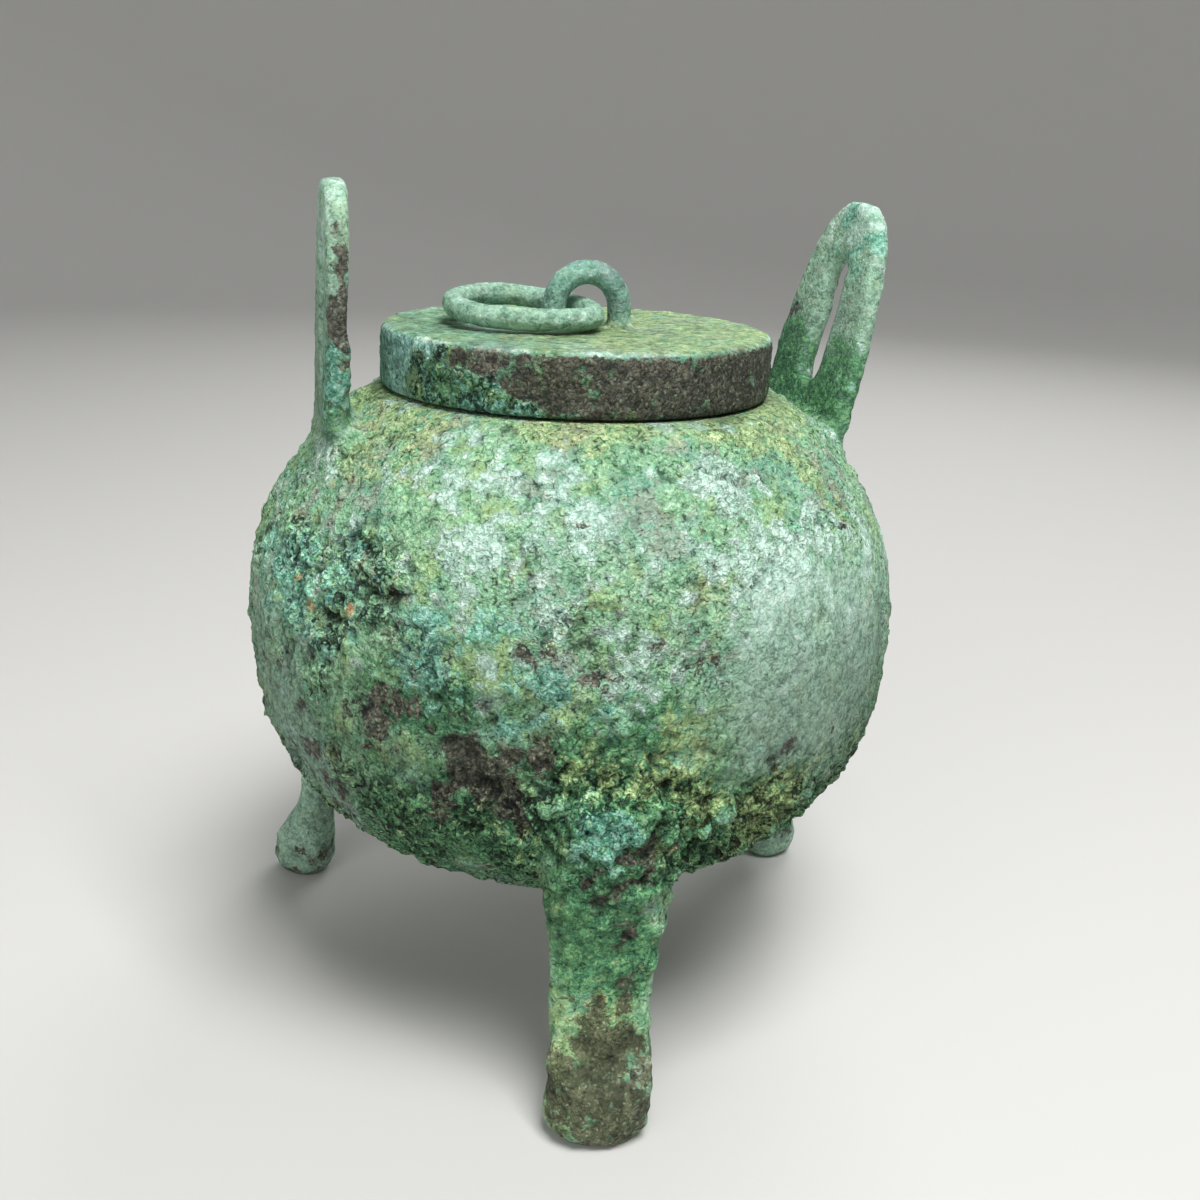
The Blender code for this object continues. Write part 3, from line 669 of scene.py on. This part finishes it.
def make_lid(node):
    piece = dress(node, "lid_casting", LID_VOXEL)
    points = read_points(piece.data)
    relax(piece.data, 3, np.full(len(points), 1.0))
    across = np.hypot(points[:, 0] - LOOP_X, points[:, 1] - 3.4)
    roots = below(across, 10, 12) * below(np.abs(points[:, 2] - LID_TOP - 0.5), 0.8, 2.0)
    relax(piece.data, 16, roots)
    points = read_points(piece.data)
    zones = lid_zones(points)
    height = points[:, 2]
    under = below(height, LID_TOP - 2.8, LID_TOP - 2.4)
    radius = np.hypot(points[:, 0] - LID_X, points[:, 1] - AXIS_Y)
    under *= below(radius, LID_RADIUS - 1.2, LID_RADIUS - 0.9)
    rest = below(height, SEAT_LEVEL + 0.4, SEAT_LEVEL + 0.9)
    ring_bed = marked(points, (((-11, 3, LID_TOP), 22, 1.0),)) * zones["top"]
    relief = lid_relief(points, zones)
    relief = relief * (1 - np.maximum(under, rest)) - 0.16 * np.clip(ring_bed, 0, 1)
    write_points(piece.data, points + read_normals(piece.data) * relief[:, None])
    store(piece.data, "zones", zones["pale"], zones["bare"], zones["pits"], zones["turquoise"])
    height = (relief - 0.35 * (cloud(points, 15, 3, 260) - 0.5) + 0.2) / 0.9
    store(piece.data, "stains", zones["ochre"], zones["rust"], zones["deep"], height)
    crust = np.clip(0.22 + 0.55 * zones["crystals"] + 0.20 * zones["side"] - 0.15 * zones["rod"], 0, 1)
    store(piece.data, "cover_and_shade", crust, zones["grey"], zones["shade"], under)
    piece.data.shade_smooth()
    return piece


def make_ring(node):
    piece = dress(node, "ring_casting", RING_VOXEL)
    points = read_points(piece.data)
    relax(piece.data, 4, np.full(len(points), 1.0))
    points = read_points(piece.data)
    wave = cloud(points, 6, 3, 310) - 0.5
    rough = cloud(points, 1.3, 3, 320) - 0.5
    small, _ = grains(points, 0.9, 330)
    relief = 0.40 * wave + 0.16 * rough + 0.05 * small - 0.06
    write_points(piece.data, points + read_normals(piece.data) * relief[:, None])
    none = np.zeros(len(points))
    pale = step(0.15 + 1.2 * wave + 0.6 * rough, 0.1, 0.9)
    bare = step(cloud(points, 5, 4, 340) - 0.5 + 0.5 * rough, 0.12, 0.4) * 0.35
    turquoise = step(cloud(points, 7, 3, 350) - 0.5, 0.0, 0.3) * 0.4
    store(piece.data, "zones", pale, bare, none, turquoise)
    store(piece.data, "stains", none, none, none, 0.55 + 0.8 * rough)
    store(piece.data, "cover_and_shade", none + 0.12, none + 0.9, none + 0.25, none)
    piece.data.shade_smooth()
    return piece


class Shades:
    """Builds a material's node tree, socket by socket."""

    def __init__(self, name):
        self.material = bpy.data.materials.new(name)
        self.material.use_nodes = True
        self.tree = self.material.node_tree
        self.shader = self.tree.nodes["Principled BSDF"]
        self.place = self.tree.nodes.new("ShaderNodeTexCoord").outputs["Object"]

    def feed(self, socket, value):
        if isinstance(value, bpy.types.NodeSocket):
            self.tree.links.new(value, socket)
        else:
            socket.default_value = value

    def noise(self, size, detail, roughness, seed=None, output="Fac"):
        """Noise round 0.5 whose forms are about size millimetres across. A seed makes it slower."""
        node = self.tree.nodes.new("ShaderNodeTexNoise")
        if seed is None:
            node.noise_dimensions = "3D"
        else:
            node.noise_dimensions = "4D"
            node.inputs["W"].default_value = seed
        self.feed(node.inputs["Vector"], self.place)
        node.inputs["Scale"].default_value = 1 / (size * MM)
        node.inputs["Detail"].default_value = detail
        node.inputs["Roughness"].default_value = roughness
        return node.outputs[output]

    def vector(self, operation, *values):
        node = self.tree.nodes.new("ShaderNodeVectorMath")
        node.operation = operation
        for socket, value in zip(node.inputs, values):
            self.feed(socket, value)
        return node.outputs["Vector"]

    def cells(self, size, shift, waver):
        """Crumbs about size millimetres across: the distance from a crumb's middle, and its own number."""
        moved = self.vector("ADD", self.place, (shift * MM,) * 3)
        node = self.tree.nodes.new("ShaderNodeTexVoronoi")
        self.feed(node.inputs["Vector"], self.vector("MULTIPLY_ADD", waver, (2.2 * size * MM,) * 3, moved))
        node.inputs["Scale"].default_value = 1 / (size * MM)
        split = self.tree.nodes.new("ShaderNodeSeparateColor")
        self.feed(split.inputs[0], node.outputs["Color"])
        return node.outputs["Distance"], split.outputs[0]

    def math(self, operation, *values):
        node = self.tree.nodes.new("ShaderNodeMath")
        node.operation = operation
        for socket, value in zip(node.inputs, values):
            self.feed(socket, value)
        return node.outputs[0]

    def total(self, *parts, start=0.0):
        """Sum of values, each times its weight."""
        whole = start
        for value, weight in parts:
            whole = self.math("MULTIPLY_ADD", value, weight, whole)
        return whole

    def times(self, first, second):
        return self.math("MULTIPLY", first, second)

    def span(self, value, low, high, start=0.0, end=1.0):
        """Smooth change from start, where value is low, to end, where it is high."""
        node = self.tree.nodes.new("ShaderNodeMapRange")
        node.interpolation_type = "SMOOTHSTEP"
        self.feed(node.inputs["Value"], value)
        for name, number in (("From Min", low), ("From Max", high), ("To Min", start), ("To Max", end)):
            node.inputs[name].default_value = number
        return node.outputs["Result"]

    def mix(self, first, second, share):
        node = self.tree.nodes.new("ShaderNodeMix")
        node.data_type = "RGBA"
        self.feed(node.inputs[6], first)
        self.feed(node.inputs[7], second)
        self.feed(node.inputs[0], share)
        return node.outputs[2]

    def brighten(self, colour, gain):
        node = self.tree.nodes.new("ShaderNodeVectorMath")
        node.operation = "SCALE"
        self.feed(node.inputs[0], colour)
        self.feed(node.inputs["Scale"], gain)
        return node.outputs["Vector"]

    def ramp(self, value, stops):
        node = self.tree.nodes.new("ShaderNodeValToRGB")
        ramp = node.color_ramp
        while len(ramp.elements) < len(stops):
            ramp.elements.new(1.0)
        for element, (position, colour) in zip(ramp.elements, stops):
            element.position = position
            element.color = to_linear(colour)
        self.feed(node.inputs["Fac"], value)
        return node.outputs["Color"]

    def layer(self, name):
        """The four numbers stored on the mesh under this name."""
        node = self.tree.nodes.new("ShaderNodeAttribute")
        node.attribute_name = name
        split = self.tree.nodes.new("ShaderNodeSeparateColor")
        self.feed(split.inputs[0], node.outputs["Color"])
        return (*split.outputs[:3], node.outputs["Alpha"])


def patina(name, grain, dust):
    """Corroded bronze: a ground of green, and over it what the stored zones say, with painted shade and
    painted highlights multiplied into it.
    """
    s = Shades(name)
    pale, bare, pits, turquoise = s.layer("zones")
    ochre, rust, deep, height = s.layer("stains")
    # The third number is painted shade
    crust, grey, shade, inside = s.layer("cover_and_shade")
    broad = s.noise(11.0, 4.0, 0.6, 1.0)
    drift = s.noise(6.0, 4.0, 0.6, 5.0)
    middle = s.noise(1.8, 4.0, 0.70)
    fine = s.noise(0.5, 3.0, 0.75)
    waver = s.noise(1.2, 1.0, 0.6, output="Color")
    lump_far, lump = s.cells(1.0, 0.0, waver)
    grit_far, grit = s.cells(0.5, 40.0, waver)
    well_far, well = s.cells(2.1, 80.0, waver)
    tone = s.total((middle, 0.6), (fine, 0.4), (lump, 0.10), (grit, 0.14), start=-0.12)
    ragged = s.total((middle, 2.2), (fine, 1.2), (lump, 0.35), start=-1.875)
    rough = s.span(crust, 0.1, 0.7, 0.45, 1.0)

    def edge(zone, low, high, most=1.0):
        """A zone with a ragged edge."""
        return s.span(s.math("ADD", zone, ragged), low, high, 0.0, most)

    def lay(colour, tones, share):
        return s.mix(colour, s.ramp(tone, tones), share)

    def tint(colour, other, share):
        return s.mix(colour, to_linear(other), share)

    # The green ground, with bluish, yellowish and mauve patches, and dust where it is smooth
    bluish = s.total((broad, 1.0), (ragged, 0.12))
    yellow = s.total((drift, 1.0), (ragged, 0.12))
    mauve = s.total((broad, 1.0), (drift, -1.0), (ragged, 0.16))
    dusty = [(place, tuple(share * channel for channel in dust)) for place, share in DUST_SHARES]
    colour = s.ramp(tone, GROUND_TONES)
    colour = tint(colour, BLUISH, s.span(bluish, 0.46, 0.62, 0.0, 0.66))
    colour = tint(colour, YELLOWISH, s.span(yellow, 0.50, 0.64, 0.0, 0.50))
    colour = tint(colour, MAUVE, s.span(mauve, 0.05, 0.18, 0.0, 0.58))
    colour = lay(colour, dusty, s.times(grey, 0.72))

    # Kinds of corrosion over it, and bare metal
    ledge = edge(pale, 0.57, 0.69)
    colour = lay(colour, MOSS_TONES, edge(deep, 0.35, 0.80, 0.88))
    colour = lay(colour, OCHRE_TONES, edge(ochre, 0.45, 1.00, 0.58))
    colour = lay(colour, TURQUOISE_TONES, edge(turquoise, 0.48, 0.75, 0.82))
    colour = tint(colour, BLOOM, s.span(pale, 0.15, 0.85, 0.0, 0.62))
    colour = lay(colour, CHALK_TONES, s.times(ledge, 0.80))
    speck = s.times(s.span(grit, 0.80, 0.92), s.span(grit_far, 0.30, 0.55, 1.0, 0.0))
    metal = s.ramp(s.total((broad, 0.3), (fine, 0.5), (grit, 0.20)), METAL_TONES)
    metal = tint(metal, OLIVE, s.times(ochre, 0.55))
    metal = tint(metal, SPECK, s.times(speck, 0.55))
    colour = s.mix(colour, metal, edge(bare, 0.50, 0.72, 0.92))

    # Pits, rust and the lining
    hole = s.span(s.total((well, 1.0), (pits, 0.42)), 1.0, 1.10)
    hole = s.times(hole, s.span(well_far, 0.25, 0.55, 1.0, 0.0))
    dent = s.span(s.total((lump, 1.0), (pits, 0.45)), 0.97, 1.05)
    dent = s.times(dent, s.span(lump_far, 0.35, 0.65, 1.0, 0.0))
    colour = lay(colour, PIT_TONES, s.times(s.math("MAXIMUM", hole, dent), 0.85))
    colour = tint(colour, RUST_BROWN, s.times(edge(rust, 0.45, 0.80, 0.75), s.span(grit, 0.1, 0.5)))
    colour = tint(colour, LINING, s.times(inside, 0.6))

    # Crumbs: painted highlights on their crowns and painted shade in the gaps and clefts between them,
    # stronger where the crust is thick
    coarse = s.span(crust, 0.55, 0.85)
    between = s.total((lump_far, 0.6), (grit_far, 0.4), (fine, 0.8), start=-0.4)
    cleft = s.span(s.total((well_far, 1.0), (fine, 0.5), start=-0.25), 0.52, 0.78)
    cleft = s.times(cleft, coarse)
    crown = s.span(s.total((well_far, 1.0), (fine, 0.6), start=-0.3), 0.18, 0.42, 1.0, 0.0)
    crown = s.times(crown, coarse)
    colour = tint(colour, CROWN_HIGHLIGHT, s.times(crown, s.span(well, 0.3, 0.9, 0.0, 0.70)))
    gap_shade = s.times(s.span(between, 0.60, 0.84), s.times(rough, s.total((ledge, -0.45), start=1.0)))
    crevice_shade = s.times(s.total((gap_shade, -0.80), start=1.0), s.total((cleft, -0.86), start=1.0))
    light = s.times(s.span(between, 0.30, 0.50, 1.0, 0.0), s.total((coarse, 0.45), start=rough))
    light = s.total((light, 0.45), (crown, 0.35), start=1.0)
    # Painted shade in the crust's low hollows and painted highlight on its high points, and the stored
    # painted shade, all multiplied into the colour
    relief = s.times(s.span(height, 0.0, 0.45, 0.26, 1.0), s.span(height, 0.55, 1.0, 1.0, 1.30))
    painted_shade_gain = s.total((shade, -0.52), start=1.0)
    gain = s.times(s.times(crevice_shade, light), s.times(relief, painted_shade_gain))
    s.feed(s.shader.inputs["Base Color"], s.brighten(colour, gain))

    worn = s.span(bare, 0.2, 0.9, 0.94, 0.72)
    s.feed(s.shader.inputs["Roughness"], s.total((worn, 1.0), (fine, 0.2), start=-0.1))
    s.shader.inputs["Specular IOR Level"].default_value = GLOSS
    bump = s.tree.nodes.new("ShaderNodeBump")
    bump.inputs["Distance"].default_value = grain * MM
    s.feed(bump.inputs["Strength"], rough)
    crumbs = s.total((s.times(lump_far, lump_far), -0.9), (s.times(grit_far, grit_far), -0.45))
    crumbs = s.total((cleft, -1.0), (crown, 0.4), start=crumbs)
    crumbs = s.total((middle, 1.4), (fine, 0.5), (ledge, 0.35), (hole, -1.0), start=crumbs)
    s.feed(bump.inputs["Height"], crumbs)
    s.feed(s.shader.inputs["Normal"], bump.outputs["Normal"])
    return s.material


def studio():
    """A plain pale floor that curves up into a wall all round, and soft light."""
    rim = []
    for i in range(CURVE_STEPS + 1):
        angle = math.pi / 2 * i / CURVE_STEPS
        across, up = math.sin(angle), 1 - math.cos(angle)
        rim.append((FLOOR_RADIUS + FLOOR_CURVE * across, FLOOR_CURVE * up))
    profile = [*rim, (FLOOR_RADIUS + FLOOR_CURVE, WALL_TOP)]
    points = []
    faces = []
    for i in range(FLOOR_STEPS):
        angle = math.tau * i / FLOOR_STEPS
        points += [(r * math.cos(angle), r * math.sin(angle), z) for r, z in profile]
    run = len(profile)
    points.append((0.0, 0.0, 0.0))
    for i in range(FLOOR_STEPS):
        here, there = i * run, (i + 1) % FLOOR_STEPS * run
        faces.append((len(points) - 1, here, there))
        faces += [(here + k, here + k + 1, there + k + 1, there + k) for k in range(run - 1)]
    mesh = bpy.data.meshes.new("floor")
    mesh.from_pydata(points, [], faces)
    mesh.shade_smooth()
    floor = bpy.data.objects.new("floor", mesh)
    bpy.context.scene.collection.objects.link(floor)
    s = Shades("pale floor")
    s.shader.inputs["Base Color"].default_value = to_linear(FLOOR)
    s.shader.inputs["Roughness"].default_value = 0.9
    s.shader.inputs["Specular IOR Level"].default_value = 0.0
    floor.data.materials.append(s.material)
    world = bpy.data.worlds.new("soft room")
    world.use_nodes = True
    world.node_tree.nodes["Background"].inputs["Color"].default_value = ROOM_COLOUR
    world.node_tree.nodes["Background"].inputs["Strength"].default_value = ROOM_STRENGTH
    bpy.context.scene.world = world
    for name, place, size, power in LAMPS:
        light = bpy.data.lights.new(name, "AREA")
        light.size = size
        light.energy = power
        lamp = bpy.data.objects.new(name, light)
        lamp.location = place
        aim = Vector(LAMP_AIM) - Vector(place)
        lamp.rotation_euler = aim.to_track_quat("-Z", "Y").to_euler()
        bpy.context.scene.collection.objects.link(lamp)


def make_camera():
    turn = Matrix.Rotation(HEADING, 3, "Z")
    ahead = turn @ Vector((0, math.cos(PITCH), -math.sin(PITCH)))
    right = turn @ Vector((1, 0, 0))
    up = right.cross(ahead)
    across = right * math.cos(ROLL) + up * math.sin(ROLL)
    above = up * math.cos(ROLL) - right * math.sin(ROLL)
    camera = bpy.data.cameras.new("camera")
    camera.lens = LENS
    camera.sensor_width = 36
    camera.clip_start = 0.01
    holder = bpy.data.objects.new("camera", camera)
    bpy.context.scene.collection.objects.link(holder)
    holder.matrix_world = Matrix.Translation(EYE) @ Matrix((across, above, -ahead)).transposed().to_4x4()
    bpy.context.scene.camera = holder


def main():
    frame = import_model()
    bpy.context.scene.view_settings.view_transform = "Standard"
    make_camera()
    studio()
    nodes = frame["nodes"]
    dressed = (
        (make_pot(nodes["pot"]), "pot", "pot", patina("green_crust", POT_GRAIN, POT_DUST)),
        (make_lid(nodes["lid"]), "pot", "lid", patina("lid_crust", LID_GRAIN, LID_DUST)),
        (make_ring(nodes["ring"]), "ring", "ring", patina("grey_green", RING_GRAIN, RING_DUST)),
    )
    for piece, body, node, material in dressed:
        piece.data.materials.clear()
        piece.data.materials.append(material)
        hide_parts(node)
        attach(piece, body)


main()
